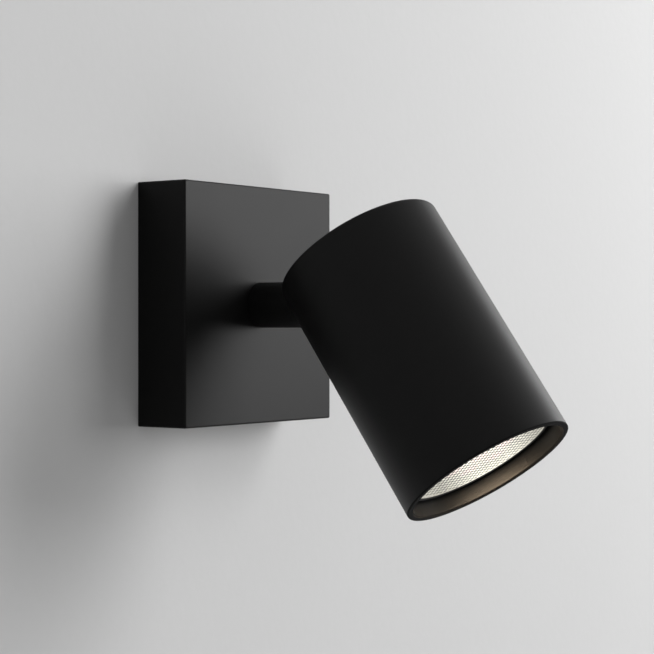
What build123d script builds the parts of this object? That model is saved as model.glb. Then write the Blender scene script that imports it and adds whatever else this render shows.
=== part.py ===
from build123d import *
import math
import os

# Pivoting spotlight for one lamp, fixed to a wall by a square backplate.
# Millimetres. The part's frame: +X to the right, -Y out of the wall, +Z up,
# with its origin at the middle of the backplate, on the wall.
#
# Pieces on the wall and on the arm are drawn in a wall frame: x right, y up,
# z out of the wall. Pieces of the head are drawn in a head frame: the origin
# is on the tilt pivot, z runs forward to the lamp's face, and the slot for
# the arm is on the -y side.

# ---- fits ---------------------------------------------------------------
running = 0.05          # play between faces that turn on each other
seat = 0.05             # play between pieces that are screwed or pressed
loose = 0.2             # play between pieces that are only put together

# ---- backplate ----------------------------------------------------------
plate_side = 80.0
plate_depth = 20.0
plate_wall = 1.6
plate_front_wall = 2.0
plate_edge = 0.6

# ---- wall bracket -------------------------------------------------------
bracket_sheet = 1.5
strip_width = 36.0      # upright strip, with a folded tab at each end
arm_height = 24.0       # level strip, with the slots for the wall screws
tab_width = 16.0
tab_reach = 12.0
tab_screw_height = 8.0
wall_hole_inset = 10.0  # from the plate's side to the middle of a wall slot
wall_slot_width = 4.5
wall_slot_length = 10.0
cable_bore_radius = 5.0
bush_wall = 1.95
bush_flange = 1.5
bush_flange_thick = 1.0

# ---- screws: shank radius, head radius, head height ---------------------
M25 = (1.25, 2.3, 1.6)
M3 = (1.5, 2.75, 1.9)
M4 = (2.0, 3.75, 2.4)
csk_head_radius = 2.8
csk_head_height = 1.4
cover_screw_length = 6.0
thread_engaged = 1.4    # how far an earth or block screw goes into the sheet
screw_clearance = 0.1   # round a shank that only passes through
driver_slot = 0.6

# ---- terminal block -----------------------------------------------------
pole_pitch = 10.0
pole_count = 2
block_depth = 16.0
block_height = 11.5
block_to_screw = 1.0    # from the block's lower side to the lower cover screw's end
insert_side = 4.6
insert_bore = 1.5
insert_screw_pitch = 7.0
insert_centre = 4.5     # above the bracket
block_screw_recess = 1.0
screw_well_play = 0.6   # between a terminal screw and its well
wire_stop = 1.5         # how far a lead's insulation goes into the block
wire_run = 3.0          # straight lead in front of the block

# ---- earth terminal -----------------------------------------------------
earth_x = 9.0
earth_inset = 16.0      # down from the plate's top
ring_sheet = 0.8
ring_width = 2.0        # metal round the ring's hole
washer_thick = 0.8
barrel_radius = 1.5
barrel_length = 5.0
barrel_neck = 4.5       # from the ring's middle to the barrel's near end

# ---- leads --------------------------------------------------------------
lead_radius = 0.75
core_radius = 0.5
core_length = 5.0
lead_offset = 0.9       # from the sleeve's axis to each of its three leads
lead_bend = 2.2
sleeve_radius = 1.7
sleeve_play = 0.5
sleeve_bend = 3.0
sleeve_elbow_radius = 2.0   # the two tight turns at the arm's side hole
sleeve_past_end = 1.0   # how far it sticks out of the spigot or the grommet

# ---- arm ----------------------------------------------------------------
arm_radius = 7.65
pivot_out = 72.0        # from the wall to the tilt pivot
shoulder_gap = 0.2      # shadow line between the arm and the plate
spigot_radius = 5.0
spigot_flat = 0.8
spigot_chamfer = 0.4
spigot_past_nut = 0.8
tongue_thick = 8.0
tongue_radius = 5.0
tongue_length = 10.0    # from the pivot back to the full round arm
friction_washer_thick = 0.8
friction_washer_lip = 0.7
lead_exit = 15.0        # from the pivot back to the lead's way out
bush_sleeve = 1.0
stem_bush_flange = 2.5
stem_bush_flange_thick = 1.0
stop_washer_radius = 8.5
stop_washer_thick = 1.2
stop_tab_width = 2.2
stop_tab_past_pin = 1.2
stop_pin_radius = 1.0
stop_pin_orbit = 12.5
stop_pin_seat = 1.2
wave_washer_radius = 8.0
wave_washer_thick = 0.7
lock_nut_flats = 14.0
lock_nut_thick = 3.5

# ---- head casing --------------------------------------------------------
lamp_radius = 25.0
lamp_gap = 1.25         # between the lamp's rim and the casing
casing_wall = 2.25
casing_length = 85.0
pivot_setback = 21.0    # from the head's rear face forward to the pivot
slot_play = 0.5         # between the arm and each side of the slot
rear_edge = 0.8
rim_outer_edge = 0.4
rim_inner_edge = 0.5
boss_radius = 3.2
boss_inset = 0.4        # from the casing's bore to the boss's round side
boss_depth = 10.0
tilt_at_rest = 55.0     # the head's angle below level in the photograph

# ---- lamp carrier -------------------------------------------------------
carrier_thick = 1.8
carrier_ear = 1.8
ear_radius = 5.5
tongue_to_carrier = 1.0
disc_washer_thick = 0.6
spring_washer_thick = 0.8
pivot_nut_flats = 7.0
pivot_nut_thick = 3.2
pivot_bolt_past_nut = 0.6
disc_washer_margin = 0.5
carrier_screw_length = 8.0
side_boss_drop = 8.0    # the two side bosses lie this far towards the slot
carrier_play = 0.25     # between the carrier's edge and the casing's bore
grommet_wall = 1.0
grommet_flange = 0.8
grommet_edge = 1.4      # metal left between the grommet and the carrier's edge
crossing_run = 1.7      # straight sleeve on the arm's side of the crossing
head_sleeve_length = 4.0    # from the crossing out to the head sleeve's turn
head_sleeve_offset = 1.8    # how far the grommet lies inside that turn

# ---- lampholder ---------------------------------------------------------
holder_width = 15.0
holder_height = 10.0
holder_corner = 2.0
holder_web = 0.6        # between a pin's way and the counterbore beside it
holder_end = 0.6        # outside each counterbore
holder_counterbore = 4.0
holder_lip = 1.5
socket_floor = 2.4
contact_thick = 0.6
contact_radius = 2.1
neutral_rise = 4.4      # the neutral lead's height above the carrier
live_rise = 6.4
earth_rise = 1.8        # above the end of the head's sleeve
lead_way_play = 0.15
lead_into_holder = 2.5
pin_spacing = 10.0
pin_neck_radius = 1.5
pin_neck = 2.1
pin_head_radius = 2.45
pin_length = 7.0
pin_edge = 0.5
pin_play = 0.3
twist = 20.0            # how far the lamp is turned to lock it

# ---- lamp ---------------------------------------------------------------
lamp_body_length = 42.6
lamp_base_radius = 14.5
lamp_base_foot = 11.0
lamp_base_height = 11.0
lamp_base_bevel = 4.0
lamp_base_floor = 5.0
lamp_overlap = 2.5      # how far the shell reaches down over the base
lamp_shoulder = 14.0    # straight length behind the lamp's face
lamp_wall = 1.4
lamp_lip = 1.0
lens_thick = 2.0
lens_dome = 0.25
led_board_depth = 13.0  # from the lamp's face to the board
led_board_thick = 1.6
board_shelf_thick = 1.2
board_shelf_width = 3.0
led_side = 3.5
led_height = 0.9
led_ring_radius = 9.0
led_count = 6

# ---- worked out ---------------------------------------------------------
half_plate = plate_side / 2
inner_half = half_plate - plate_wall
front_inside = plate_depth - plate_front_wall
tab_face = inner_half - loose
wall_hole_x = half_plate - wall_hole_inset
bush_top = bracket_sheet + bush_flange_thick
block_length = pole_pitch * pole_count
block_top = bracket_sheet + block_height
block_drop = half_plate - cover_screw_length - block_to_screw - block_depth / 2
insert_z = bracket_sheet + insert_centre
earth_y = half_plate - earth_inset

stem_bush_radius = spigot_radius + running + bush_sleeve
washer_z = plate_depth + running
shoulder_z = plate_depth + shoulder_gap
stop_washer_z = front_inside - stem_bush_flange_thick - running - stop_washer_thick
wave_washer_z = stop_washer_z - wave_washer_thick
lock_nut_z = wave_washer_z - running - lock_nut_thick
spigot_end = lock_nut_z - spigot_past_nut
sleeve_end = spigot_end - sleeve_past_end
sleeve_bore = sleeve_radius + sleeve_play
exit_z = pivot_out - lead_exit
friction_washer_radius = arm_radius - friction_washer_lip

casing_bore = lamp_radius + lamp_gap
casing_radius = casing_bore + casing_wall
rear_z = -pivot_setback
rear_inside = rear_z + casing_wall
rim_z = rear_z + casing_length
slot_half = arm_radius + slot_play
carrier_z = tongue_radius + tongue_to_carrier - carrier_thick - loose
carrier_front = carrier_z + carrier_thick
carrier_radius = casing_bore - carrier_play
boss_orbit = casing_bore - boss_radius - boss_inset
side_boss_x = math.sqrt(boss_orbit**2 - side_boss_drop**2)
bosses = [(side_boss_x, -side_boss_drop), (-side_boss_x, -side_boss_drop), (0, boss_orbit)]
washer_x = tongue_thick / 2 + running
ear_x = washer_x + disc_washer_thick + running
ear_out = ear_x + carrier_ear
holder_front = carrier_front + holder_height
counterbore_radius = M25[1] + screw_clearance
pin_way_radius = pin_head_radius + pin_play
holder_screw_x = pin_spacing / 2 + pin_way_radius + holder_web + counterbore_radius
holder_length = 2 * (holder_screw_x + counterbore_radius + holder_end)
base_z = holder_front + loose
lamp_face = base_z + lamp_body_length
board_z = lamp_face - led_board_depth
sleeve_side = ear_out + M4[2] + sleeve_radius + sleeve_play
sleeve_cross = sleeve_side + sleeve_bend + crossing_run
sleeve_turn = sleeve_cross + head_sleeve_length
grommet_radius = sleeve_radius + grommet_wall
grommet_x = sleeve_turn - head_sleeve_offset
grommet_y = math.sqrt((carrier_radius - grommet_edge - grommet_radius)**2 - grommet_x**2)
head_sleeve_end = carrier_front + grommet_flange + sleeve_past_end


# ---- shapes that repeat -------------------------------------------------
def rod(radius, length, x=0.0, y=0.0, z=0.0):
    return Pos(x, y, z) * Cylinder(radius, length, align=(Align.CENTER, Align.CENTER, Align.MIN))


def block(width, depth, height, x=0.0, y=0.0, z=0.0):
    return Pos(x, y, z) * Box(width, depth, height, align=(Align.CENTER, Align.CENTER, Align.MIN))


def ring(outer, inner, length, x=0.0, y=0.0, z=0.0):
    return rod(outer, length, x, y, z) - rod(inner, length, x, y, z)


def hexagon(flats, length, z):
    return Pos(0, 0, z) * extrude(RegularPolygon(flats / 2, 6, major_radius=False), length)


def turned(points):
    """A solid turned about z from an outline of (radius, z) points."""
    outline = Plane.XZ * make_face(Polyline(*points, close=True))
    return revolve(outline, Axis.Z)


def tube(points, radius, bend):
    """A round tube along straight runs joined by arcs, or along one straight run."""
    if len(points) == 2:
        path = Line(*points)
    else:
        path = FilletPolyline(*points, radius=bend)
    return sweep(Plane(origin=path @ 0, z_dir=path % 0) * Circle(radius), path)


def pan_screw(size, length):
    """A slotted screw, its head standing on z = 0 and its shank below."""
    shank, head, height = size
    screw = rod(shank, length, z=-length) + rod(head, height)
    edge = screw.faces().sort_by(Axis.Z)[-1].edges()
    screw = fillet(edge, height * 0.4)
    return screw - block(2 * head, driver_slot, height * 0.5, z=height * 0.5)


def csk_screw(length):
    """A countersunk screw, its flat top on z = 0."""
    shank = M3[0]
    outline = [(0, 0), (csk_head_radius, 0), (shank, -csk_head_height), (shank, -length), (0, -length)]
    return turned(outline) - block(2 * shank, driver_slot, csk_head_height / 2, z=-csk_head_height / 2)


def ring_terminal(hole):
    """A crimped ring terminal lying on z = 0, its barrel towards +y."""
    mouth = Pos(0, barrel_neck + barrel_length, barrel_radius) * Rot(90, 0, 0)
    neck_length = barrel_neck + barrel_radius
    terminal = rod(hole + ring_width, ring_sheet)
    terminal += block(2 * barrel_radius, neck_length, ring_sheet, y=neck_length / 2)
    terminal += mouth * rod(barrel_radius, barrel_length)
    return terminal - mouth * rod(lead_radius + seat, barrel_length) - rod(hole + seat, ring_sheet)


def lead_place(angle):
    """Where one of the three leads leaves the end of the sleeve."""
    turn = math.radians(angle)
    return lead_offset * math.cos(turn), lead_offset * math.sin(turn)


# ---- on the wall --------------------------------------------------------
def mounting_bracket():
    upright = block(strip_width, 2 * tab_face, bracket_sheet)
    level = block(2 * tab_face, arm_height, bracket_sheet)
    plate = upright + level
    for side in (1, -1):
        middle = side * (tab_face - bracket_sheet / 2)
        plate += block(tab_width, bracket_sheet, tab_reach, y=middle)
        thread = Pos(0, side * tab_face, tab_screw_height) * Rot(90 * side, 0, 0)
        plate -= thread * rod(M3[0] + seat, 2 * bracket_sheet)
        slot = extrude(SlotOverall(wall_slot_length, wall_slot_width), bracket_sheet)
        plate -= Pos(side * wall_hole_x, 0, 0) * slot
    plate -= rod(cable_bore_radius + bush_wall + seat, bracket_sheet)
    plate -= rod(M3[0] + seat, bracket_sheet, 0, -block_drop)
    plate -= rod(M4[0] + seat, bracket_sheet, earth_x, earth_y)
    return plate


def cable_bush():
    outer = cable_bore_radius + bush_wall
    body = rod(outer, bracket_sheet) + rod(outer + bush_flange, bush_flange_thick, z=bracket_sheet)
    return body - rod(cable_bore_radius, bush_top)


def backplate_cover():
    shell = block(plate_side, plate_side, plate_depth)
    corners = shell.edges().filter_by(Axis.Z)
    front = shell.faces().sort_by(Axis.Z)[-1].edges()
    shell = fillet(corners + front, plate_edge)
    shell -= block(2 * inner_half, 2 * inner_half, front_inside)
    shell -= rod(stem_bush_radius + seat, plate_depth)
    shell -= rod(stop_pin_radius + seat, stop_pin_seat, 0, stop_pin_orbit, front_inside)
    sink = turned([(0, 0), (csk_head_radius + seat, 0), (M3[0] + seat, -csk_head_height - seat),
                   (M3[0] + seat, -2 * plate_wall), (0, -2 * plate_wall)])
    for side in (1, -1):
        shell -= Pos(0, side * half_plate, tab_screw_height) * Rot(-90 * side, 0, 0) * sink
    return shell


def cover_screws():
    screw = csk_screw(cover_screw_length)
    places = [Pos(0, side * half_plate, tab_screw_height) * Rot(-90 * side, 0, 0) for side in (1, -1)]
    return [place * Pos(0, 0, -seat) * screw for place in places]


def pole_places():
    return [(i - (pole_count - 1) / 2) * pole_pitch for i in range(pole_count)]


def insert_screw_places():
    return [(x, -block_drop + side * insert_screw_pitch / 2) for x in pole_places() for side in (1, -1)]


def terminal_block():
    body = block(block_length, block_depth, block_height, 0, -block_drop, bracket_sheet)
    channel = insert_side + 2 * seat
    for x in pole_places():
        body -= block(channel, block_depth, channel, x, -block_drop, insert_z - channel / 2)
    for x, y in insert_screw_places():
        body -= rod(M25[0] + screw_well_play, block_height, x, y, insert_z)
    shank, head, height = M3
    body -= rod(shank + seat, block_height, 0, -block_drop, bracket_sheet)
    return body - rod(head + seat, block_height, 0, -block_drop, block_top - height - seat)


def terminal_inserts():
    inserts = []
    length = block_depth - 2 * loose
    for x in pole_places():
        insert = block(insert_side, length, insert_side, x, -block_drop, insert_z - insert_side / 2)
        wire_way = Pos(x, -block_drop + length / 2, insert_z) * Rot(90, 0, 0) * rod(insert_bore, length)
        insert -= wire_way
        for sx, sy in insert_screw_places():
            insert -= rod(M25[0] + seat, insert_side, sx, sy, insert_z)
        inserts.append(insert)
    return inserts


def terminal_screws():
    tip = insert_z + core_radius + seat
    top = block_top - block_screw_recess
    screw = rod(M25[0], top - tip, z=tip) - block(2 * M25[0], driver_slot, driver_slot, z=top - driver_slot)
    return [Pos(x, y, 0) * screw for x, y in insert_screw_places()]


def terminal_block_screw():
    head = block_top - M3[2] - seat
    return Pos(0, -block_drop, head) * pan_screw(M3, head - bracket_sheet + thread_engaged)


def base_earth_ring():
    return Pos(earth_x, earth_y, bracket_sheet) * Rot(0, 0, 180) * ring_terminal(M4[0])


def earth_washer():
    return ring(M4[0] + ring_width, M4[0] + seat, washer_thick, earth_x, earth_y, bracket_sheet + ring_sheet)


def earth_screw():
    head = bracket_sheet + ring_sheet + washer_thick
    return Pos(earth_x, earth_y, head) * pan_screw(M4, head - bracket_sheet + thread_engaged)


def supply_lead(angle, pole):
    """From the sleeve in the arm down to one pole of the terminal block."""
    x0, y0 = lead_place(angle)
    x1 = pole_places()[pole]
    block_edge = -block_drop + block_depth / 2
    stripped = block_edge - wire_stop
    lead = tube([(x0, y0, sleeve_end), (x0, y0, insert_z), (x1, block_edge + wire_run, insert_z),
                 (x1, stripped, insert_z)], lead_radius, lead_bend)
    core = Pos(x1, stripped, insert_z) * Rot(90, 0, 0) * rod(core_radius, core_length)
    return lead + core


def base_earth_lead():
    x0, y0 = lead_place(90)
    barrel_z = bracket_sheet + barrel_radius
    mouth = earth_y - barrel_neck - barrel_length
    return tube([(x0, y0, sleeve_end), (x0, y0, barrel_z + wire_run),
                 (earth_x, mouth - 2 * wire_run, barrel_z),
                 (earth_x, mouth + barrel_length / 2, barrel_z)], lead_radius, lead_bend)


def stem_bush():
    flange_z = front_inside - stem_bush_flange_thick
    body = rod(stem_bush_radius, plate_front_wall - seat, z=front_inside)
    body += rod(stem_bush_radius + stem_bush_flange, stem_bush_flange_thick, z=flange_z)
    return body - rod(spigot_radius + running, plate_depth)


def stop_pin():
    foot = stop_washer_z
    return rod(stop_pin_radius, front_inside + stop_pin_seat - foot, 0, stop_pin_orbit, foot)


# ---- on the arm ---------------------------------------------------------
def flat_side(height, z, play=0.0):
    """What the flat takes off the spigot, or leaves in the bore that slides onto it."""
    depth = spigot_flat + spigot_radius
    return block(2 * depth, depth, height, 0, spigot_radius - spigot_flat + play + depth / 2, z)


def swivel_stem():
    tongue_z = pivot_out - tongue_length
    stem = rod(arm_radius, tongue_z - shoulder_z, z=shoulder_z)
    recess = washer_z + friction_washer_thick + seat - shoulder_z
    stem -= ring(friction_washer_radius + seat, spigot_radius, recess, z=shoulder_z)
    spigot = rod(spigot_radius, shoulder_z - spigot_end, z=spigot_end)
    spigot = chamfer(spigot.faces().sort_by(Axis.Z)[0].edges(), spigot_chamfer)
    stem += spigot - flat_side(stop_washer_z + stop_washer_thick - spigot_end, spigot_end)
    stem += block(tongue_thick, 2 * tongue_radius, tongue_length, z=tongue_z)
    stem += Pos(-tongue_thick / 2, 0, pivot_out) * Rot(0, 90, 0) * rod(tongue_radius, tongue_thick)
    stem -= Pos(-arm_radius, 0, pivot_out) * Rot(0, 90, 0) * rod(M4[0] + running, 2 * arm_radius)
    stem -= rod(sleeve_bore, exit_z - spigot_end, z=spigot_end)
    stem -= Pos(0, 0, exit_z) * Sphere(sleeve_bore)
    return stem - Pos(0, 0, exit_z) * Rot(0, 90, 0) * rod(sleeve_bore, 2 * arm_radius)


def stem_friction_washer():
    return ring(friction_washer_radius, spigot_radius + seat, friction_washer_thick, z=washer_z)


def stop_washer():
    reach = stop_pin_orbit + stop_tab_past_pin
    washer = rod(stop_washer_radius, stop_washer_thick, z=stop_washer_z)
    washer += block(stop_tab_width, reach, stop_washer_thick, 0, -reach / 2, stop_washer_z)
    hole = rod(spigot_radius + seat, stop_washer_thick, z=stop_washer_z)
    return washer - (hole - flat_side(stop_washer_thick, stop_washer_z, seat))


def wave_washer():
    return ring(wave_washer_radius, spigot_radius + seat, wave_washer_thick, z=wave_washer_z)


def lock_nut():
    nut = hexagon(lock_nut_flats, lock_nut_thick, lock_nut_z)
    return nut - rod(spigot_radius + seat, lock_nut_thick, z=lock_nut_z)


def arm_lead_sleeve():
    bends = [sleeve_elbow_radius, sleeve_elbow_radius, sleeve_bend]
    return tube([(0, 0, sleeve_end), (0, 0, exit_z), (sleeve_side, 0, exit_z), (sleeve_side, 0, pivot_out),
                 (sleeve_cross, 0, pivot_out)], sleeve_radius, bends)


# ---- in the head --------------------------------------------------------
def head_casing():
    shell = rod(casing_radius, casing_length, z=rear_z)
    shell = fillet(shell.faces().sort_by(Axis.Z)[0].edges(), rear_edge)
    shell = fillet(shell.faces().sort_by(Axis.Z)[-1].edges(), rim_outer_edge)
    shell -= rod(casing_bore, rim_z - rear_inside, z=rear_inside)
    bevel = rim_z - rim_inner_edge
    shell -= turned([(0, rim_z), (casing_bore + rim_inner_edge, rim_z), (casing_bore, bevel), (0, bevel)])
    height = carrier_z - rear_inside
    for x, y in bosses:
        outward = Vector(x, y, 0).normalized() * boss_inset
        boss = rod(boss_radius, height, x, y, rear_inside) + rod(boss_radius, height, x + 2 * outward.X,
                                                                 y + 2 * outward.Y, rear_inside)
        shell += boss
        shell -= rod(M3[0] + seat, boss_depth, x, y, carrier_z - boss_depth)
    return shell - arm_slot()


def arm_slot():
    """The room that the arm takes from straight behind the head to square below it."""
    far = 2 * casing_radius
    behind = rod(slot_half, far, z=-far)
    below = Rot(90, 0, 0) * rod(slot_half, far)
    return behind + below + block(2 * slot_half, far, far, 0, -far / 2, -far)


def along_x(shape, x):
    """Turns a piece drawn along +z outward along x, with its foot at x."""
    return Pos(x, 0, 0) * Rot(0, 90 if x > 0 else -90, 0) * shape


def lamp_carrier():
    """A cast disc across the casing, with two ears back to the pivot and a notch for the arm."""
    disc = rod(carrier_radius, carrier_thick, z=carrier_z)
    disc -= block(2 * ear_x, 2 * ear_radius, carrier_thick, z=carrier_z)
    disc -= block(2 * slot_half, casing_radius, carrier_thick, 0, -ear_radius - casing_radius / 2, carrier_z)
    for x, y in bosses:
        disc -= rod(M3[0] + screw_clearance, carrier_thick, x, y, carrier_z)
    disc -= rod(grommet_radius + seat, carrier_thick, grommet_x, grommet_y, carrier_z)
    for side in (1, -1):
        disc -= rod(M25[0] + seat, carrier_thick, side * holder_screw_x, 0, carrier_z)
        disc += along_x(rod(ear_radius, carrier_ear), side * ear_x)
        disc += block(carrier_ear, 2 * ear_radius, carrier_front, side * (ear_x + ear_out) / 2)
        disc -= along_x(rod(M4[0] + seat, carrier_ear), side * ear_x)
    return disc


def carrier_grommet():
    height = carrier_thick + 2 * grommet_flange
    foot = carrier_z - grommet_flange
    body = rod(grommet_radius, carrier_thick, z=carrier_z)
    for z in (foot, carrier_front):
        body += rod(grommet_radius + grommet_flange, grommet_flange, z=z)
    return Pos(grommet_x, grommet_y, 0) * (body - rod(sleeve_radius + seat, height, z=foot))


def carrier_screws():
    """The first of the three also holds the ring terminal of the head's earth lead."""
    screws = []
    for i, (x, y) in enumerate(bosses):
        under = carrier_front + (ring_sheet if i == 0 else 0)
        screws.append(Pos(x, y, under) * pan_screw(M3, carrier_screw_length))
    return screws


def pivot_bolt():
    past_ear = spring_washer_thick + pivot_nut_thick + pivot_bolt_past_nut
    return along_x(pan_screw(M4, 2 * ear_out + past_ear), ear_out)


def pivot_washers():
    washer = ring(ear_radius - disc_washer_margin, M4[0] + seat, disc_washer_thick)
    return [along_x(washer, side * washer_x) for side in (1, -1)]


def pivot_spring_washer():
    return along_x(ring(M4[1], M4[0] + seat, spring_washer_thick), -ear_out)


def pivot_nut():
    nut = hexagon(pivot_nut_flats, pivot_nut_thick, 0) - rod(M4[0] + seat, pivot_nut_thick)
    return along_x(Rot(0, 0, 30) * nut, -ear_out - spring_washer_thick)


def head_lead_sleeve():
    return tube([(sleeve_cross, 0, 0), (sleeve_turn, 0, 0), (grommet_x, grommet_y, 0),
                 (grommet_x, grommet_y, head_sleeve_end)], sleeve_radius, sleeve_bend)


def lampholder_lead(angle, side, rise):
    """From the sleeve round to one socket, through the holder's +y side."""
    x0, y0 = lead_place(angle)
    x0, y0 = x0 + grommet_x, y0 + grommet_y
    x1 = side * pin_spacing / 2
    level = carrier_front + rise
    return tube([(x0, y0, head_sleeve_end), (x0, y0, level), (x1, y0, level),
                 (x1, holder_width / 2 - lead_into_holder, level)],
                lead_radius, [min(lead_bend, level - head_sleeve_end), lead_bend])


def head_earth_lead():
    x0, y0 = lead_place(-60)
    x0, y0 = x0 + grommet_x, y0 + grommet_y
    x1, y1 = bosses[0]
    barrel_z = carrier_front + barrel_radius
    level = head_sleeve_end + earth_rise
    mouth = y1 + barrel_neck + barrel_length
    return tube([(x0, y0, head_sleeve_end), (x0, y0, level), (x1, mouth + 2 * earth_rise, level),
                 (x1, mouth + earth_rise / 2, barrel_z), (x1, mouth - barrel_length / 2, barrel_z)],
                lead_radius, [lead_bend / 2, lead_bend / 2, lead_bend / 2])


def head_earth_ring():
    x, y = bosses[0]
    return Pos(x, y, carrier_front) * ring_terminal(M3[0])


def pin_arc(radius):
    """The path that a pin takes as the lamp is twisted in, as a flat slot."""
    return SlotArc(CenterArc((0, 0), pin_spacing / 2, -twist, twist), 2 * radius)


def lampholder():
    body = block(holder_length, holder_width, holder_height, z=carrier_front)
    body = fillet(body.edges().filter_by(Axis.Z), holder_corner)
    floor = carrier_front + socket_floor
    lip = holder_front - holder_lip
    entry = Rot(0, 0, -twist) * Pos(pin_spacing / 2, 0) * Circle(pin_way_radius)
    room = extrude(pin_arc(pin_way_radius), lip - floor)
    mouth = extrude(pin_arc(pin_neck_radius + pin_play) + entry, holder_lip)
    for half_turn in (0, 180):
        body -= Rot(0, 0, half_turn) * Pos(0, 0, floor) * room
        body -= Rot(0, 0, half_turn) * Pos(0, 0, lip) * mouth
    for side, lead_rise in ((1, neutral_rise), (-1, live_rise)):
        orbit = side * pin_spacing / 2
        body -= rod(M25[0] + screw_clearance, holder_height, side * holder_screw_x, 0, carrier_front)
        body -= rod(counterbore_radius, holder_counterbore, side * holder_screw_x, 0,
                    holder_front - holder_counterbore)
        lead_way = Rot(-90, 0, 0) * rod(lead_radius + lead_way_play, holder_width / 2)
        body -= Pos(orbit, 0, carrier_front + lead_rise) * lead_way
    return body


def lampholder_contacts():
    floor = carrier_front + socket_floor + seat
    return [rod(contact_radius, contact_thick, side * pin_spacing / 2, 0, floor) for side in (1, -1)]


def holder_screws():
    head = holder_front - holder_counterbore
    screw = pan_screw(M25, head - carrier_z - seat)
    return [Pos(side * holder_screw_x, 0, head) * screw for side in (1, -1)]


def lamp_pins():
    pins = []
    for side in (1, -1):
        x = side * pin_spacing / 2
        neck = rod(pin_neck_radius, pin_neck, x, 0, base_z - pin_neck)
        head = rod(pin_head_radius, pin_length - pin_neck, x, 0, base_z - pin_length)
        head = fillet(head.edges().filter_by(GeomType.CIRCLE), pin_edge)
        pins.append(neck + head)
    return pins


def lamp_base():
    top = base_z + lamp_base_height
    floor = base_z + lamp_base_floor
    inside = lamp_base_radius - 2 * lamp_wall
    return turned([(0, base_z), (lamp_base_foot, base_z), (lamp_base_radius, base_z + lamp_base_bevel),
                   (lamp_base_radius, top), (inside, top), (inside, floor), (0, floor)])


def lamp_shell():
    """A cone from the base up to a straight rim, hollow, with a ledge for the lens and one for the board."""
    foot = base_z + lamp_base_height - lamp_overlap
    neck = lamp_base_radius + seat
    shoulder = lamp_face - lamp_shoulder
    ledge = lamp_face - lens_thick - seat
    mouth = lamp_radius - lamp_lip
    inside = mouth - lamp_wall
    shell = turned([(neck, foot), (neck + lamp_wall, foot), (lamp_radius, shoulder), (lamp_radius, lamp_face),
                    (mouth, lamp_face), (mouth, ledge), (inside, ledge), (inside, shoulder),
                    (neck, foot + lamp_overlap + lamp_wall)])
    return shell + ring(mouth, inside - board_shelf_width, board_shelf_thick, z=board_z - board_shelf_thick)


def led_board():
    return rod(lamp_radius - lamp_lip - lamp_wall - loose, led_board_thick, z=board_z)


def led_emitters():
    top = board_z + led_board_thick
    places = [(0.0, 0.0)]
    for i in range(led_count):
        turn = math.radians(i * 360 / led_count)
        places.append((led_ring_radius * math.cos(turn), led_ring_radius * math.sin(turn)))
    return [block(led_side, led_side, led_height, x, y, top) for x, y in places]


def lamp_lens():
    radius = lamp_radius - lamp_lip - seat
    foot = lamp_face - lens_thick
    lens = rod(radius, lens_thick, z=foot)
    return fillet(lens.faces().sort_by(Axis.Z)[-1].edges(), lens_dome)


# ---- the whole light ----------------------------------------------------
wall_frame = Rot(90, 0, 0)
head_frame = Rot(90, 0, 0) * Pos(0, 0, pivot_out) * Rot(tilt_at_rest, 0, 0)

on_wall = {
    "mounting_bracket": mounting_bracket(),
    "cable_bush": cable_bush(),
    "backplate_cover": backplate_cover(),
    "cover_screws": cover_screws(),
    "terminal_block": terminal_block(),
    "terminal_inserts": terminal_inserts(),
    "terminal_screws": terminal_screws(),
    "terminal_block_screw": terminal_block_screw(),
    "base_earth_ring": base_earth_ring(),
    "earth_washer": earth_washer(),
    "earth_screw": earth_screw(),
    "base_live_lead": supply_lead(210, 0),
    "base_neutral_lead": supply_lead(330, 1),
    "base_earth_lead": base_earth_lead(),
    "stem_bush": stem_bush(),
    "stop_pin": stop_pin(),
    "swivel_stem": swivel_stem(),
    "stem_friction_washer": stem_friction_washer(),
    "stop_washer": stop_washer(),
    "wave_washer": wave_washer(),
    "lock_nut": lock_nut(),
    "arm_lead_sleeve": arm_lead_sleeve(),
}

in_head = {
    "head_casing": head_casing(),
    "lamp_carrier": lamp_carrier(),
    "carrier_grommet": carrier_grommet(),
    "carrier_screws": carrier_screws(),
    "pivot_bolt": pivot_bolt(),
    "pivot_washers": pivot_washers(),
    "pivot_spring_washer": pivot_spring_washer(),
    "pivot_nut": pivot_nut(),
    "head_lead_sleeve": head_lead_sleeve(),
    "head_live_lead": lampholder_lead(60, -1, live_rise),
    "head_neutral_lead": lampholder_lead(180, 1, neutral_rise),
    "head_earth_lead": head_earth_lead(),
    "head_earth_ring": head_earth_ring(),
    "lampholder": lampholder(),
    "lampholder_contacts": lampholder_contacts(),
    "holder_screws": holder_screws(),
    "lamp_pins": lamp_pins(),
    "lamp_base": lamp_base(),
    "lamp_shell": lamp_shell(),
    "led_board": led_board(),
    "led_emitters": led_emitters(),
    "lamp_lens": lamp_lens(),
}


def save(node, shape, frame):
    solids = shape if isinstance(shape, list) else [shape]
    placed = [frame * solid for solid in solids]
    whole = placed[0] if len(placed) == 1 else Compound(children=placed)
    export_step(whole, f"parts/{node}.step")


os.makedirs("parts", exist_ok=True)
for name, piece in on_wall.items():
    save(name, piece, wall_frame)
for name, piece in in_head.items():
    save(name, piece, head_frame)
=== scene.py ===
import math

import bmesh
import bpy
from mathutils import Matrix, Vector


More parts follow.
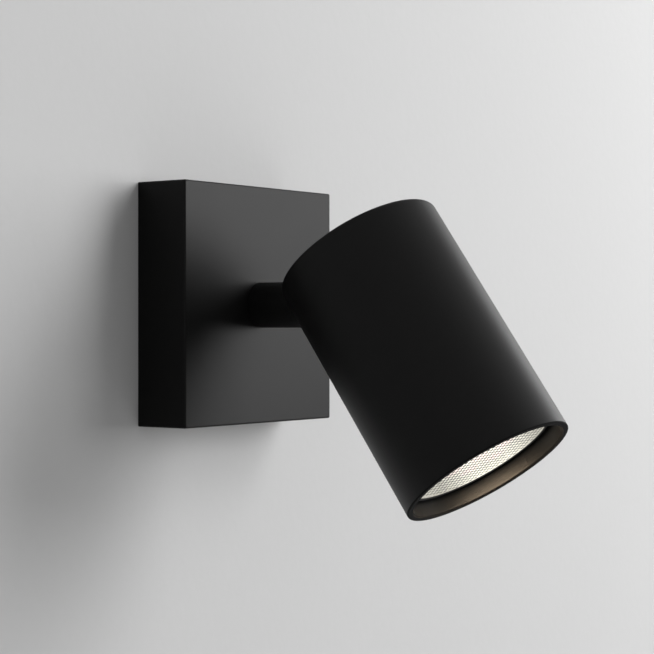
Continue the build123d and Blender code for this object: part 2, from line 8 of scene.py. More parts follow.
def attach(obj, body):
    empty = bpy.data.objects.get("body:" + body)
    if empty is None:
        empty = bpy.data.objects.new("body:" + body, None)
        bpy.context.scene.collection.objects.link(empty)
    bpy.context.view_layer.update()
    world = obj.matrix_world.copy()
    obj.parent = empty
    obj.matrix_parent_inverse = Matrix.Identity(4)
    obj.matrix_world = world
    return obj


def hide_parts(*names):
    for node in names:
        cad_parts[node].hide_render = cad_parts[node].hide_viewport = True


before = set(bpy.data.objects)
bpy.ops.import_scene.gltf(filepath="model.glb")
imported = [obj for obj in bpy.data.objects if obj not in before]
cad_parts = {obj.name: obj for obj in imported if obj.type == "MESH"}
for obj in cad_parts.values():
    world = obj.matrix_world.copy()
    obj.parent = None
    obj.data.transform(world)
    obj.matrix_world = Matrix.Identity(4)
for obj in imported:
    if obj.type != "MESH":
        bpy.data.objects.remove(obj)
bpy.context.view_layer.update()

# Looks for the pivoting spotlight, in metres, in the frame of its CAD parts:
# +X right, -Y out of the wall, +Z up, origin at the middle of the backplate's wall side.

MM = 0.001

# ---- sizes that the dressed pieces share with the CAD parts ---------------
PIVOT = Vector((0.0, -72.0, 0.0)) * MM     # where the head tilts on the arm
TILT = math.radians(55.0)                  # the head's angle below level at rest
LAMP_FACE = 58.6 * MM                      # from the pivot forward to the lamp's face
LENS_RADIUS = 23.95 * MM
LENS_THICK = 2.0 * MM
PLATE_SIDE = 80.0 * MM
RING_LEDS = 6                              # emitters in a ring round the middle one
LED_RING = 9.0 * MM                        # radius of that ring
CASING_BORE = 26.25 * MM
RIM = 64.0 * MM                            # from the pivot forward to the casing's rim
RIM_BEVEL = 0.5 * MM                       # the bevel inside the rim

# the head's own axes: x right, z forward through the lamp's face
HEAD = Matrix.Translation(PIVOT) @ Matrix.Rotation(math.radians(90.0) + TILT, 4, "X")


# ---- small helpers ---------------------------------------------------------
def keep_in_scene(obj):
    bpy.context.scene.collection.objects.link(obj)
    return obj


def mesh_object(name, bm):
    """A plain mesh piece at the origin."""
    mesh = bpy.data.meshes.new(name)
    bm.to_mesh(mesh)
    bm.free()
    return keep_in_scene(bpy.data.objects.new(name, mesh))


def put(tree, value, socket):
    """Sets an input socket to a value, or links it to an output socket."""
    if isinstance(value, bpy.types.NodeSocket):
        tree.links.new(value, socket)
    else:
        socket.default_value = value


def add(tree, kind, inputs=None, **settings):
    """A node with its settings, and its inputs set to a value or linked to an output socket."""
    made = tree.nodes.new(kind)
    for key, value in settings.items():
        setattr(made, key, value)
    for key, value in (inputs or {}).items():
        put(tree, value, made.inputs[key])
    return made


def math_node(tree, operation, *values):
    return add(tree, "ShaderNodeMath", dict(enumerate(values)), operation=operation).outputs[0]


def distance(tree, a, b):
    """How far a point at a, b is from the middle."""
    squares = [math_node(tree, "MULTIPLY", side, side) for side in (a, b)]
    return math_node(tree, "SQRT", math_node(tree, "ADD", *squares))


def ramp(tree, value, start, end, low=0.0, high=1.0, smooth=False):
    """A number that runs from low to high while the value runs from start to end."""
    return add(tree, "ShaderNodeMapRange", {"Value": value, "From Min": start, "From Max": end,
                                            "To Min": low, "To Max": high},
               interpolation_type="SMOOTHSTEP" if smooth else "LINEAR").outputs[0]


def noise(tree, place, scale, detail, rough=0.5):
    return add(tree, "ShaderNodeTexNoise", {"Vector": place, "Scale": scale, "Detail": detail,
                                            "Roughness": rough}).outputs["Fac"]


def mix(tree, factor, low, high):
    """A Mix node, between two colours or between two numbers, each given or taken from a socket."""
    values = (low, high)
    in_colour = any(isinstance(v, tuple) or getattr(v, "type", "") == "RGBA" for v in values)
    made = add(tree, "ShaderNodeMix", {"Factor": factor},
               data_type="RGBA" if in_colour else "FLOAT")
    kind = "RGBA" if in_colour else "VALUE"
    ends = [s for s in made.inputs if s.type == kind and s.name in ("A", "B")]
    for end, value in zip(ends, values):
        put(tree, value, end)
    return next(s for s in made.outputs if s.type == kind)


def between(tree, factor, low, high):
    """A colour or number that runs from low to high with the factor."""
    if isinstance(low, tuple):
        return mix(tree, factor, low, high)
    return ramp(tree, factor, 0.0, 1.0, low, high)


def relief(tree, shader, height, depth, strength=1.0):
    """A fine relief on the shader's normal."""
    bump = add(tree, "ShaderNodeBump", {"Height": height, "Strength": strength, "Distance": depth})
    tree.links.new(bump.outputs[0], shader.inputs["Normal"])


def grey(value):
    return (value, value, value, 1.0)


# ---- shared surface effects --------------------------------------------------
FLECK_SHARE = 0.35                         # of a coat's tone, from its fine grain
CLOUD_SCALE = 120.0                        # of the cloudy tone on worked metal
DUST_SCALE = 900.0
LEVEL = (0.80, 0.99)                       # a face's upward lean, from dust-free to fully dulled


def new_effect(name, inputs, outputs):
    """A shader node group with named number sockets, and its two end nodes."""
    tree = bpy.data.node_groups.new(name, "ShaderNodeTree")
    for label, kind, value in inputs:
        socket = tree.interface.new_socket(label, in_out="INPUT", socket_type=kind)
        if value is not None:
            socket.default_value = value
    for label in outputs:
        tree.interface.new_socket(label, in_out="OUTPUT", socket_type="NodeSocketFloat")
    return tree, add(tree, "NodeGroupInput").outputs, add(tree, "NodeGroupOutput").inputs


def coat_texture():
    """Fine orange peel of a sprayed or baked coat, with broad cloudy patches."""
    tree, given, out = new_effect(
        "coat_texture",
        [("Vector", "NodeSocketVector", None), ("Grain", "NodeSocketFloat", 2200.0),
         ("Patch", "NodeSocketFloat", 30.0)],
        ["Height", "Tone"])
    peel = noise(tree, given["Vector"], given["Grain"], detail=2.0, rough=0.45)
    patch = noise(tree, given["Vector"], given["Patch"], detail=3.0, rough=0.6)
    tone = math_node(tree, "ADD", math_node(tree, "MULTIPLY", patch, 1.0 - FLECK_SHARE),
                     math_node(tree, "MULTIPLY", peel, FLECK_SHARE))
    tree.links.new(peel, out["Height"])
    tree.links.new(tone, out["Tone"])
    return tree


def tool_marks():
    """Fine scratches drawn out along one direction, as turning, plating or drawing leaves them."""
    tree, given, out = new_effect(
        "tool_marks",
        [("Vector", "NodeSocketVector", None), ("Fineness", "NodeSocketFloat", 900.0),
         ("Stretch", "NodeSocketVector", None)],
        ["Height", "Tone"])
    drawn = add(tree, "ShaderNodeVectorMath", {0: given["Vector"], 1: given["Stretch"]},
                operation="MULTIPLY").outputs[0]
    line = noise(tree, drawn, given["Fineness"], detail=4.0, rough=0.6)
    cloud = noise(tree, given["Vector"], CLOUD_SCALE, detail=2.0)
    tone = math_node(tree, "ADD", math_node(tree, "MULTIPLY", line, 0.5),
                     math_node(tree, "MULTIPLY", cloud, 0.5))
    tree.links.new(line, out["Height"])
    tree.links.new(tone, out["Tone"])
    return tree


def settled_dust():
    """A thin film where a face looks up, broken by noise. It dulls the gloss of level tops."""
    tree, given, out = new_effect(
        "settled_dust",
        [("Vector", "NodeSocketVector", None), ("Amount", "NodeSocketFloat", 0.1)],
        ["Mask", "Dulled"])
    normal = add(tree, "ShaderNodeNewGeometry").outputs["Normal"]
    up = add(tree, "ShaderNodeSeparateXYZ", {0: normal}).outputs["Z"]
    speck = noise(tree, given["Vector"], DUST_SCALE, detail=3.0)
    film = math_node(tree, "MULTIPLY", math_node(tree, "MAXIMUM", up, 0.0), speck)
    tree.links.new(math_node(tree, "MULTIPLY", film, given["Amount"]), out["Mask"])
    tree.links.new(ramp(tree, up, *LEVEL, smooth=True), out["Dulled"])
    return tree


COAT_TEXTURE = coat_texture()
TOOL_MARKS = tool_marks()
SETTLED_DUST = settled_dust()


def effect(tree, group, inputs):
    return add(tree, "ShaderNodeGroup", inputs, node_tree=group).outputs


# ---- materials -------------------------------------------------------------------
DUST_COLOUR = grey(0.35)
DUSTY_ROUGH = 0.95
METAL_MARKS = 0.004 * MM                   # depth of the marks on worked metal
METAL_MARKS_SHARE = 0.6                    # of the marks' full relief
EARTH_GREEN = (0.01, 0.12, 0.03, 1)
EARTH_YELLOW = (0.62, 0.52, 0.03, 1)
EARTH_BANDS = 190.0
EARTH_BAND_WAVER = 0.6
EARTH_BAND_EDGE = (0.42, 0.58)


def blank_material(name):
    material = bpy.data.materials.new(name)
    material.use_nodes = True
    tree = material.node_tree
    tree.nodes.clear()
    shader = add(tree, "ShaderNodeBsdfPrincipled")
    out = add(tree, "ShaderNodeOutputMaterial", {"Surface": shader.outputs[0]})
    place = add(tree, "ShaderNodeTexCoord").outputs["Object"]
    return material, tree, shader, out, place


def coated(name, dark, light, rough, grain, depth, specular=0.5, dust=0.0, metal=0.0):
    """Paint, plastic, rubber or ceramic: two close tones, uneven gloss and a fine relief."""
    material, tree, shader, _, place = blank_material(name)
    skin = effect(tree, COAT_TEXTURE, {"Vector": place, "Grain": grain})
    colour = between(tree, skin["Tone"], dark, light)
    gloss = between(tree, skin["Tone"], *rough)
    if dust:
        film = effect(tree, SETTLED_DUST, {"Vector": place, "Amount": dust})
        colour = mix(tree, film["Mask"], colour, DUST_COLOUR)
        gloss = mix(tree, film["Dulled"], gloss, DUSTY_ROUGH)
    tree.links.new(colour, shader.inputs["Base Color"])
    tree.links.new(gloss, shader.inputs["Roughness"])
    shader.inputs["Specular IOR Level"].default_value = specular
    shader.inputs["Metallic"].default_value = metal
    relief(tree, shader, skin["Height"], depth)
    return material


def worked_metal(name, dark, light, rough, stretch):
    """Bare or plated metal with the marks of its making."""
    material, tree, shader, _, place = blank_material(name)
    marks = effect(tree, TOOL_MARKS, {"Vector": place, "Stretch": stretch})
    tree.links.new(between(tree, marks["Tone"], dark, light), shader.inputs["Base Color"])
    tree.links.new(between(tree, marks["Tone"], *rough), shader.inputs["Roughness"])
    shader.inputs["Metallic"].default_value = 1.0
    relief(tree, shader, marks["Height"], METAL_MARKS, METAL_MARKS_SHARE)
    return material


def earth_insulation():
    """Green and yellow bands side by side along a lead."""
    material, tree, shader, _, place = blank_material("green_yellow_pvc")
    skin = effect(tree, COAT_TEXTURE, {"Vector": place, "Grain": 1500.0, "Patch": 60.0})
    stripes = add(tree, "ShaderNodeTexWave", {"Vector": place, "Scale": EARTH_BANDS,
                                              "Distortion": EARTH_BAND_WAVER},
                  wave_type="BANDS", bands_direction="X").outputs["Fac"]
    edge = ramp(tree, stripes, *EARTH_BAND_EDGE)
    tree.links.new(between(tree, edge, EARTH_GREEN, EARTH_YELLOW), shader.inputs["Base Color"])
    tree.links.new(between(tree, skin["Tone"], 0.35, 0.5), shader.inputs["Roughness"])
    relief(tree, shader, skin["Height"], depth=0.01 * MM, strength=0.4)
    return material


# ---- the lamp's glow -----------------------------------------------------------
def head_place(tree, place):
    """Object coordinates turned into the head's own axes, in metres."""
    turned = add(tree, "ShaderNodeVectorMath", {0: place, 1: tuple(PIVOT)}, operation="SUBTRACT")
    rows = HEAD.to_3x3().transposed()
    return [add(tree, "ShaderNodeVectorMath", {0: turned.outputs[0], 1: tuple(row)},
                operation="DOT_PRODUCT").outputs["Value"] for row in rows]


LENSLET_PITCH = 1.95 * MM
LENSLET_HEIGHT = 0.28 * MM
LENSLET_TURN = math.radians(32.0)
LENS_CREAM = (0.82, 0.79, 0.68, 1.0)
LENS_WARM = (0.94, 0.80, 0.73, 1.0)
LENS_GLOW = 1.42
WARM_SPOT = (1.2 * MM, 5.0 * MM)           # from an emitter's middle to its warm edge
SHADED_CROWN = (0.52, 0.66)                       # share of a lenslet's height where the painted shade on its crown starts
# how much the painted shade on a crown darkens the lens's glow
CROWN_SHADE_STRENGTH = 0.97
CROWN_SHADE_FADES = (13.0 * MM, 22.0 * MM)       # from the middle of the lens, where the painted crown shade grows paler
CROWN_SHADE_AT_EDGE = 0.62
HIGHLIGHT_BAND_TURN = math.radians(62.0)             # from the head's x to the way across the painted highlight band
HIGHLIGHT_BAND_OFFSET = 2.0 * MM                  # from the middle of the lens to that band
HIGHLIGHT_BAND_FADES = (6.0 * MM, 17.0 * MM)         # from the painted highlight band, where the glow falls off
GLOW_OFF_HIGHLIGHT_BAND = 0.45
STREAK_SCALE = 900.0
STREAK_GLOW = (0.45, 1.55)


def glowing_lens():
    """Lens plate: bright lenslets, each with painted shade on its crown, plainest at the middle of
    the lens, warm where an emitter lies behind, and with a painted highlight brightest in a band
    across it."""
    material, tree, shader, _, place = blank_material("prismatic_lens")
    x, y, z = head_place(tree, place)
    risen = ramp(tree, z, LAMP_FACE - LENSLET_HEIGHT, LAMP_FACE)
    radius = distance(tree, x, y)

    # the nearest emitter is the middle one, or the one in this sector of the ring
    sector = math.tau / RING_LEDS
    turn = math_node(tree, "ADD", math_node(tree, "ARCTAN2", y, x), sector / 2)
    past_edge = math_node(tree, "FLOORED_MODULO", turn, sector)
    in_sector = math_node(tree, "SUBTRACT", past_edge, sector / 2)
    along = math_node(tree, "SUBTRACT", math_node(tree, "MULTIPLY", radius, math_node(
        tree, "COSINE", in_sector)), LED_RING)
    across = math_node(tree, "MULTIPLY", radius, math_node(tree, "SINE", in_sector))
    nearest = math_node(tree, "MINIMUM", distance(tree, along, across), radius)
    spot = ramp(tree, nearest, *WARM_SPOT, 1.0, 0.0, smooth=True)

    # painted shade: the glow is darkened on each lenslet's crown, standing in for the shade on the
    # lenslets' faces
    crown = ramp(tree, risen, *SHADED_CROWN, smooth=True)
    dark = math_node(tree, "MULTIPLY", crown, ramp(tree, radius, *CROWN_SHADE_FADES, 1.0, CROWN_SHADE_AT_EDGE))
    # painted highlight: the glow is brightest in a band across the lens and falls off to either
    # side
    over = math_node(tree, "ADD", math_node(tree, "MULTIPLY", x, math.cos(HIGHLIGHT_BAND_TURN)),
                     math_node(tree, "MULTIPLY", y, math.sin(HIGHLIGHT_BAND_TURN)))
    from_highlight_band = math_node(tree, "ABSOLUTE", math_node(tree, "SUBTRACT", over, HIGHLIGHT_BAND_OFFSET))
    highlight_fade = ramp(tree, from_highlight_band, *HIGHLIGHT_BAND_FADES, 1.0, GLOW_OFF_HIGHLIGHT_BAND)
    streak = noise(tree, place, STREAK_SCALE, detail=3.0, rough=0.65)
    clear = math_node(tree, "SUBTRACT", 1.0, math_node(tree, "MULTIPLY", dark, CROWN_SHADE_STRENGTH))
    lit = math_node(tree, "MULTIPLY", math_node(tree, "MULTIPLY", clear, highlight_fade),
                    between(tree, streak, *STREAK_GLOW))

    glow = add(tree, "ShaderNodeVectorMath", {0: between(tree, spot, LENS_CREAM, LENS_WARM)},
               operation="SCALE")
    tree.links.new(lit, glow.inputs["Scale"])
    tree.links.new(glow.outputs[0], shader.inputs["Emission Color"])
    shader.inputs["Emission Strength"].default_value = LENS_GLOW
    # the base colour carries the same painted shade on the crowns
    tree.links.new(between(tree, dark, grey(0.08), grey(0.03)), shader.inputs["Base Color"])
    tree.links.new(between(tree, streak, 0.15, 0.35), shader.inputs["Roughness"])
    relief(tree, shader, streak, depth=0.02 * MM, strength=0.3)
    return material


PHOSPHOR_GLOW = 1.5


def glowing_phosphor():
    material, tree, shader, _, place = blank_material("yellow_phosphor")
    skin = effect(tree, COAT_TEXTURE, {"Vector": place, "Grain": 3000.0, "Patch": 400.0})
    tree.links.new(between(tree, skin["Tone"], (0.75, 0.48, 0.05, 1), (0.95, 0.72, 0.16, 1)),
                   shader.inputs["Base Color"])
    tree.links.new(between(tree, skin["Tone"], 0.35, 0.6), shader.inputs["Roughness"])
    tree.links.new(between(tree, skin["Tone"], (1.0, 0.72, 0.4, 1), (1.0, 0.86, 0.6, 1)),
                   shader.inputs["Emission Color"])
    shader.inputs["Emission Strength"].default_value = PHOSPHOR_GLOW
    return material


# ---- finishes, by the record's material slots ----------------------------------------
BLACK_COAT = {"dark": grey(0.0040), "light": grey(0.0065), "grain": 2400.0, "depth": 0.012 * MM,
              "dust": 0.01}
FINISHES = {
    "black_coat": coated("black_powder_coat", rough=(0.41, 0.49), specular=0.15, **BLACK_COAT),
    "black_nylon": coated("black_nylon", dark=grey(0.012), light=grey(0.022), rough=(0.42, 0.55),
                          grain=1800.0, depth=0.008 * MM),
    "natural_nylon": coated("natural_nylon", dark=(0.62, 0.58, 0.48, 1),
                            light=(0.74, 0.71, 0.62, 1), rough=(0.35, 0.48), grain=1500.0,
                            depth=0.006 * MM),
    "white_plastic": coated("white_urea_plastic", dark=(0.70, 0.69, 0.66, 1),
                            light=(0.80, 0.79, 0.76, 1), rough=(0.28, 0.42), grain=1600.0,
                            depth=0.006 * MM),
    "silicone_sleeve": coated("black_silicone", dark=grey(0.014), light=grey(0.03),
                              rough=(0.5, 0.68), grain=2600.0, depth=0.01 * MM),
    "black_rubber": coated("black_rubber", dark=grey(0.01), light=grey(0.02), rough=(0.6, 0.75),
                           grain=2200.0, depth=0.012 * MM),
    "brown_lead": coated("brown_pvc", dark=(0.075, 0.028, 0.012, 1), light=(0.11, 0.042, 0.018, 1),
                         rough=(0.3, 0.45), grain=1500.0, depth=0.006 * MM),
    "blue_lead": coated("blue_pvc", dark=(0.012, 0.06, 0.30, 1), light=(0.02, 0.09, 0.40, 1),
                        rough=(0.3, 0.45), grain=1500.0, depth=0.006 * MM),
    "steatite": coated("steatite", dark=(0.60, 0.58, 0.53, 1), light=(0.72, 0.70, 0.65, 1),
                       rough=(0.35, 0.6), grain=1300.0, depth=0.02 * MM),
    "lamp_grey": coated("lamp_body_plastic", dark=grey(0.012), light=grey(0.022), rough=(0.4, 0.5),
                        grain=1700.0, depth=0.008 * MM),
    "board_white": coated("white_circuit_board", dark=(0.72, 0.72, 0.70, 1),
                          light=(0.82, 0.82, 0.80, 1), rough=(0.3, 0.45), grain=1200.0,
                          depth=0.004 * MM),
    "cast_aluminium": coated("cast_aluminium", dark=(0.55, 0.56, 0.57, 1),
                             light=(0.70, 0.71, 0.72, 1), rough=(0.32, 0.5), grain=1400.0,
                             depth=0.02 * MM, metal=1.0),
    "zinc_steel": worked_metal("zinc_plated_steel", dark=(0.55, 0.56, 0.57, 1),
                               light=(0.78, 0.79, 0.80, 1), rough=(0.25, 0.42),
                               stretch=(1.0, 1.0, 0.12)),
    "brass": worked_metal("drawn_brass", dark=(0.60, 0.42, 0.16, 1), light=(0.80, 0.60, 0.28, 1),
                          rough=(0.2, 0.36), stretch=(1.0, 1.0, 0.08)),
    "tinned": worked_metal("tinned_copper", dark=(0.62, 0.61, 0.58, 1), light=(0.80, 0.79, 0.76, 1),
                           rough=(0.22, 0.4), stretch=(0.15, 1.0, 1.0)),
    "earth_lead": earth_insulation(),
    "lens": glowing_lens(),
    "emitter": glowing_phosphor(),
}

# the same coat lies smoother on the backplate's flat faces than on the round casing
FLAT_COAT = coated("black_powder_coat_flat", rough=(0.35, 0.42), specular=0.112, **BLACK_COAT)

MOUTH_POLISH = 0.8                         # of the coat's roughness, on the wall of the mouth
MOUTH_DEPTH = 2.0 * MM                     # that this wall reaches behind the lamp's face
BORE_MARGIN = 0.3 * MM                     # beyond the bore, so that its own wall counts as inside
RIM_ROUGH = 0.95


def polish_mouth(material):
    """The coat on the wall of the casing's mouth is smoother, and on the end of its rim rougher."""
    tree = material.node_tree
    shader = tree.nodes["Principled BSDF"]
    x, y, z = head_place(tree, tree.nodes["Texture Coordinate"].outputs["Object"])
    in_bore = math_node(tree, "LESS_THAN", distance(tree, x, y), CASING_BORE + BORE_MARGIN)
    ahead = math_node(tree, "GREATER_THAN", z, LAMP_FACE - MOUTH_DEPTH)
    inside = math_node(tree, "MULTIPLY", in_bore, ahead)
    rough = shader.inputs["Roughness"].links[0].from_socket
    wall = mix(tree, inside, rough, math_node(tree, "MULTIPLY", rough, MOUTH_POLISH))
    at_rim = math_node(tree, "GREATER_THAN", z, RIM - RIM_BEVEL)
    tree.links.new(mix(tree, at_rim, wall, RIM_ROUGH), shader.inputs["Roughness"])


polish_mouth(FINISHES["black_coat"])


def dress_cad_nodes():
    for name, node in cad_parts.items():
        for place in node.material_slots:
            flat = name == "backplate_cover"
            place.material = FLAT_COAT if flat else FINISHES[place.material.name]


# ---- lens plate --------------------------------------------------------------------
LENS_LAND = 1.3 * MM                       # plain ring between the lenslets and the lens's edge
LENS_EDGE = 0.12 * MM                      # bevel round the lens's back
LENS_SIDES = 128
LENSLET_STEPS = 3                          # from a lenslet's foot to its crown
WELD = 0.01 * MM


def lenslet_tree():
    """A round field of hexagonal lenslets that meet edge to edge."""
    tree = bpy.data.node_groups.new("lenslet_field", "GeometryNodeTree")
    for label, kind, value in (("Field Radius", "NodeSocketFloat", LENS_RADIUS),
                               ("Pitch", "NodeSocketFloat", LENSLET_PITCH),
                               ("Height", "NodeSocketFloat", LENSLET_HEIGHT),
                               ("Steps", "NodeSocketInt", LENSLET_STEPS),
                               ("Finish", "NodeSocketMaterial", None)):
        socket = tree.interface.new_socket(label, in_out="INPUT", socket_type=kind)
        if value is not None:
            socket.default_value = value
    tree.interface.new_socket("Field", in_out="OUTPUT", socket_type="NodeSocketGeometry")
    given = add(tree, "NodeGroupInput").outputs
    out = add(tree, "NodeGroupOutput").inputs

    def number(operation, *values):
        return math_node(tree, operation, *values)

    def vector(operation, *values):
        return add(tree, "ShaderNodeVectorMath", dict(enumerate(values)),
                   operation=operation).outputs

    # a staggered grid of points, cut to the round field
    row_gap = number("MULTIPLY", given["Pitch"], math.sqrt(3.0) / 2.0)
    half_count = number("CEIL", number("DIVIDE", given["Field Radius"], row_gap))
    count = number("ADD", number("MULTIPLY", half_count, 2.0), 3.0)
    reach = number("SUBTRACT", count, 1.0)
    grid = add(tree, "GeometryNodeMeshGrid", {
        "Size X": number("MULTIPLY", reach, row_gap),
        "Size Y": number("MULTIPLY", reach, given["Pitch"]),
        "Vertices X": count, "Vertices Y": count}).outputs["Mesh"]
    index = add(tree, "GeometryNodeInputIndex").outputs[0]
    row = number("FLOOR", number("DIVIDE", number("ADD", index, 0.5), count))
    odd = number("FLOORED_MODULO", row, 2.0)
    half_pitch = number("MULTIPLY", given["Pitch"], 0.5)
    shift = add(tree, "ShaderNodeCombineXYZ", {"Y": number("MULTIPLY", odd, half_pitch)}).outputs[0]
    staggered = add(tree, "GeometryNodeSetPosition", {"Geometry": grid, "Offset": shift}).outputs[0]
    place = add(tree, "GeometryNodeInputPosition").outputs[0]
    off_centre = vector("LENGTH", place)["Value"]
    outside = add(tree, "FunctionNodeCompare", {"A": off_centre, "B": given["Field Radius"]},
                  data_type="FLOAT", operation="GREATER_THAN").outputs[0]
    kept = add(tree, "GeometryNodeDeleteGeometry", {"Geometry": staggered, "Selection": outside},
               domain="POINT").outputs[0]

    # one lenslet: a six-sided cone, domed
    corner = number("DIVIDE", given["Pitch"], math.sqrt(3.0))
    cone = add(tree, "GeometryNodeMeshCone", {
        "Vertices": 6, "Side Segments": given["Steps"], "Radius Top": 0.0, "Radius Bottom": corner,
        "Depth": given["Height"]}, fill_type="NONE").outputs["Mesh"]
    flat = vector("MULTIPLY", place, (1.0, 1.0, 0.0))[0]
    share = number("DIVIDE", vector("LENGTH", flat)["Value"], corner)
    dome = number("SUBTRACT", 1.0, number("POWER", share, 2.0))
    crown = number("MULTIPLY", given["Height"], dome)
    rise = add(tree, "ShaderNodeCombineXYZ", {"Z": crown}).outputs[0]
    domed = add(tree, "GeometryNodeSetPosition", {
        "Geometry": cone, "Position": vector("ADD", flat, rise)[0]}).outputs[0]

    placed = add(tree, "GeometryNodeInstanceOnPoints", {
        "Points": kept, "Instance": domed}).outputs[0]
    real = add(tree, "GeometryNodeRealizeInstances", {"Geometry": placed}).outputs[0]
    joined = add(tree, "GeometryNodeMergeByDistance", {
        "Geometry": real, "Distance": WELD}).outputs[0]
    finished = add(tree, "GeometryNodeSetMaterial", {"Geometry": joined,
                                                     "Material": given["Finish"]}).outputs[0]
    tree.links.new(finished, out["Field"])
    return tree


def grown_mesh(name, tree, values):
    """The plain mesh that a geometry tree makes from these input values."""
    carrier = keep_in_scene(bpy.data.objects.new(name, bpy.data.meshes.new(name)))
    grower = carrier.modifiers.new(name, "NODES")
    grower.node_group = tree
    sockets = {item.name: item.identifier for item in tree.interface.items_tree
               if item.in_out == "INPUT"}
    for label, value in values.items():
        grower[sockets[label]] = value
    bpy.context.view_layer.update()
    evaluated = carrier.evaluated_get(bpy.context.evaluated_depsgraph_get())
    mesh = bpy.data.meshes.new_from_object(evaluated)
    bpy.data.objects.remove(carrier)
    return mesh


def ring_of_points(bm, radius, level):
    turns = [i * math.tau / LENS_SIDES for i in range(LENS_SIDES)]
    return [bm.verts.new((radius * math.cos(turn), radius * math.sin(turn), level))
            for turn in turns]


def lens_plate():
    """The lens: a field of lenslets in a flat rim, with a plain side and back."""
    field = grown_mesh("lenslets", lenslet_tree(), {
        "Field Radius": LENS_RADIUS - LENS_LAND, "Pitch": LENSLET_PITCH, "Height": LENSLET_HEIGHT,
        "Steps": LENSLET_STEPS, "Finish": FINISHES["lens"]})
    bm = bmesh.new()
    bm.from_mesh(field)
    bm.transform(Matrix.Rotation(LENSLET_TURN, 4, "Z"))

    # the flat rim fills the space from the field's jagged edge to a round one
    jagged = [e for e in bm.edges if e.is_boundary]
    rings = [ring_of_points(bm, LENS_RADIUS, 0.0)]
    after = [(i + 1) % LENS_SIDES for i in range(LENS_SIDES)]
    round_edges = [bm.edges.new((rings[0][i], rings[0][j])) for i, j in enumerate(after)]
    bmesh.ops.triangle_fill(bm, edges=jagged + round_edges, use_beauty=True)

    down = LENS_THICK - LENSLET_HEIGHT
    for inset, level in ((0.0, -LENS_EDGE), (0.0, LENS_EDGE - down), (LENS_EDGE, -down)):
        rings.append(ring_of_points(bm, LENS_RADIUS - inset, level))
    for upper, lower in zip(rings, rings[1:]):
        for i, j in enumerate(after):
            bm.faces.new((upper[i], lower[i], lower[j], upper[j]))
    bm.faces.new(list(reversed(rings[-1])))
    bmesh.ops.recalc_face_normals(bm, faces=bm.faces)
    bm.transform(HEAD @ Matrix.Translation((0.0, 0.0, LAMP_FACE - LENSLET_HEIGHT)))
    for face in bm.faces:
        face.smooth = len(face.verts) <= 4     # all but the round back
        face.material_index = 0                # the lenslets bring a slot of their own
    plate = mesh_object("lens_plate", bm)
    plate.data.materials.append(FINISHES["lens"])
    return plate


# ---- studio ---------------------------------------------------------------------------
# The photograph's viewpoint, fitted to the backplate's corners and the head's outline.
CAMERA_PLACE = Vector((-468.2, -382.7, -6.3)) * MM
CAMERA_AZIMUTH = math.radians(-54.380)
CAMERA_ELEVATION = math.radians(0.109)
CAMERA_CLIP = (0.01, 50.0)
FRAME_PIXELS = 654
FOCAL_PIXELS = 1747.6
SENSOR = 36.0                              # mm


def set_camera():
    data = bpy.data.cameras.new("photo_camera")
    camera = keep_in_scene(bpy.data.objects.new("photo_camera", data))
    data.sensor_width = SENSOR
    data.lens = FOCAL_PIXELS / FRAME_PIXELS * SENSOR
    level = math.cos(CAMERA_ELEVATION)
    back = Vector((math.sin(CAMERA_AZIMUTH) * level, -math.cos(CAMERA_AZIMUTH) * level,
                   math.sin(CAMERA_ELEVATION)))
    right = Vector((math.cos(CAMERA_AZIMUTH), math.sin(CAMERA_AZIMUTH), 0.0))
    axes = Matrix((right, back.cross(right), back)).transposed()
    camera.matrix_world = Matrix.Translation(CAMERA_PLACE) @ axes.to_4x4()
    data.clip_start, data.clip_end = CAMERA_CLIP
    bpy.context.scene.camera = camera


BACKDROP = 0.60
WALL_TONES = (grey(0.585), grey(0.625))
WALL_REACH = 3.0
WALL_GAP = 0.03 * MM
WALL_OPENING = PLATE_SIDE - 2.0 * MM       # hidden by the backplate, and open to a view from behind
FLOOR_TONES = (grey(0.62), grey(0.68))
FLOOR_PALENESS = 0.85
FLOOR_REACH = 12.0
FLOOR_LEVEL = -1.2


def wall_paint():
    """Pale matt paint, clear from its back, so that a view from behind shows the light's back."""
    material, tree, shader, out, place = blank_material("wall_paint")
    skin = effect(tree, COAT_TEXTURE, {"Vector": place, "Grain": 260.0, "Patch": 9.0})
    tree.links.new(between(tree, skin["Tone"], *WALL_TONES), shader.inputs["Base Color"])
    tree.links.new(between(tree, skin["Tone"], 0.7, 0.85), shader.inputs["Roughness"])
    relief(tree, shader, skin["Height"], depth=0.15 * MM, strength=0.35)
    behind = add(tree, "ShaderNodeNewGeometry").outputs["Backfacing"]
    clear = add(tree, "ShaderNodeBsdfTransparent")
    shown = add(tree, "ShaderNodeMixShader", {0: behind, 1: shader.outputs[0], 2: clear.outputs[0]})
    tree.links.new(shown.outputs[0], out.inputs["Surface"])
    return material


def floor_paint():
    """Matt pale floor, which the camera sees as pale as the backdrop."""
    material, tree, shader, out, place = blank_material("floor_paint")
    skin = effect(tree, COAT_TEXTURE, {"Vector": place, "Grain": 120.0, "Patch": 4.0})
    tree.links.new(between(tree, skin["Tone"], *FLOOR_TONES), shader.inputs["Base Color"])
    tree.links.new(between(tree, skin["Tone"], 0.6, 0.8), shader.inputs["Roughness"])
    pale = add(tree, "ShaderNodeEmission", {"Color": grey(BACKDROP)})
    seen = add(tree, "ShaderNodeLightPath").outputs["Is Camera Ray"]
    shown = add(tree, "ShaderNodeMixShader", {0: math_node(tree, "MULTIPLY", seen, FLOOR_PALENESS),
                                              1: shader.outputs[0], 2: pale.outputs[0]})
    tree.links.new(shown.outputs[0], out.inputs["Surface"])
    return material


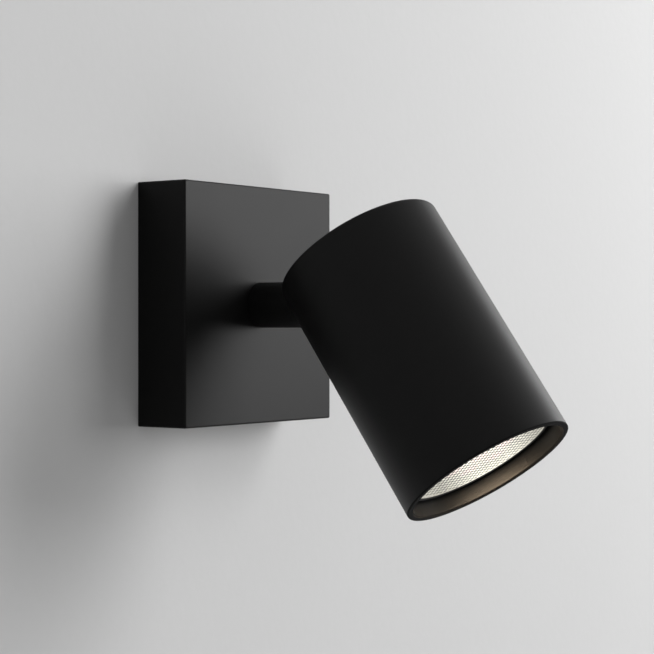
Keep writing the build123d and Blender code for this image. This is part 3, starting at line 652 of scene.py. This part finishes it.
def set_stage():
    """A wall with an opening behind the backplate, and a floor well below."""
    corners = [(-1, -1), (1, -1), (1, 1), (-1, 1)]
    hole = WALL_OPENING / 2
    bm = bmesh.new()
    outer = [bm.verts.new((x * WALL_REACH, WALL_GAP, max(z * WALL_REACH, FLOOR_LEVEL)))
             for x, z in corners]
    inner = [bm.verts.new((x * hole, WALL_GAP, z * hole)) for x, z in corners]
    for i in range(4):
        j = (i + 1) % 4
        bm.faces.new((outer[i], outer[j], inner[j], inner[i]))
    wall = mesh_object("studio_wall", bm)
    wall.data.materials.append(wall_paint())
    bm = bmesh.new()
    bm.faces.new([bm.verts.new((x * FLOOR_REACH, y * FLOOR_REACH, FLOOR_LEVEL))
                  for x, y in corners])
    floor = mesh_object("studio_floor", bm)
    floor.data.materials.append(floor_paint())


# name, the way to it from the light, distance, side, power, and whether glossy faces mirror it
SOFT_LAMPS = (
    ("key", (0.69, -0.69, 0.165), 2.6, 1.4, 46.0, True),
    ("side", (0.97, -0.05, 0.24), 1.2, 0.5, 3.0, True),
    ("top", (0.62, -0.42, 0.64), 1.6, 0.8, 12.0, False),
    ("fill", (-0.6, -1.0, 0.1), 1.6, 1.0, 0.6, True),
)
LIT_POINT = Vector((0.0, -0.06, -0.01))
ROOM_LIGHT = 0.225

GLOW_POWER = 0.078
GLOW_SPREAD = math.radians(180.0)
GLOW_SIZE = 22.0 * MM
GLOW_GAP = 0.1 * MM                        # ahead of the lamp's face
GLOW_COLOUR = (1.0, 0.76, 0.52)


def soft_lamp(name, toward, distance_off, side, power, mirrored):
    """A square soft box that looks at the light from the given direction."""
    data = bpy.data.lights.new(name, "AREA")
    data.shape = "SQUARE"
    data.size = side
    data.energy = power
    lamp = keep_in_scene(bpy.data.objects.new(name, data))
    direction = Vector(toward).normalized()
    lamp.location = LIT_POINT + direction * distance_off
    lamp.rotation_euler = direction.to_track_quat("Z", "Y").to_euler()
    lamp.visible_glossy = mirrored


def light_the_room():
    """Dim even light all round, and a paler backdrop where the camera or a glossy face sees it."""
    world = bpy.data.worlds.new("studio")
    bpy.context.scene.world = world
    world.use_nodes = True
    tree = world.node_tree
    tree.nodes.clear()
    path = add(tree, "ShaderNodeLightPath").outputs
    seen = math_node(tree, "MAXIMUM", path["Is Camera Ray"], math_node(
        tree, "MAXIMUM", path["Is Glossy Ray"], path["Is Transmission Ray"]))
    light = add(tree, "ShaderNodeBackground", {"Color": grey(1.0), "Strength": ROOM_LIGHT})
    backdrop = add(tree, "ShaderNodeBackground", {"Color": grey(BACKDROP), "Strength": 1.0})
    mixed = add(tree, "ShaderNodeMixShader", {0: seen, 1: light.outputs[0], 2: backdrop.outputs[0]})
    add(tree, "ShaderNodeOutputWorld", {"Surface": mixed.outputs[0]})


def light_the_lamp():
    """The lamp's own light on the casing's mouth. It tilts with the head."""
    data = bpy.data.lights.new("lamp_glow", "AREA")
    data.shape = "DISK"
    data.size = GLOW_SIZE
    data.energy = GLOW_POWER
    data.color = GLOW_COLOUR
    data.spread = GLOW_SPREAD
    glow = keep_in_scene(bpy.data.objects.new("lamp_glow", data))
    forward = Matrix.Rotation(math.pi, 4, "X")     # a lamp shines along its -z
    glow.matrix_world = HEAD @ Matrix.Translation((0.0, 0.0, LAMP_FACE + GLOW_GAP)) @ forward
    glow.visible_camera = False
    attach(glow, "head")


# ---- the scene -----------------------------------------------------------------------------
dress_cad_nodes()
lens = lens_plate()
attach(lens, "head")
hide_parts("lamp_lens")

set_camera()
set_stage()
for lamp in SOFT_LAMPS:
    soft_lamp(*lamp)
light_the_room()
light_the_lamp()
bpy.context.scene.view_settings.view_transform = "Standard"
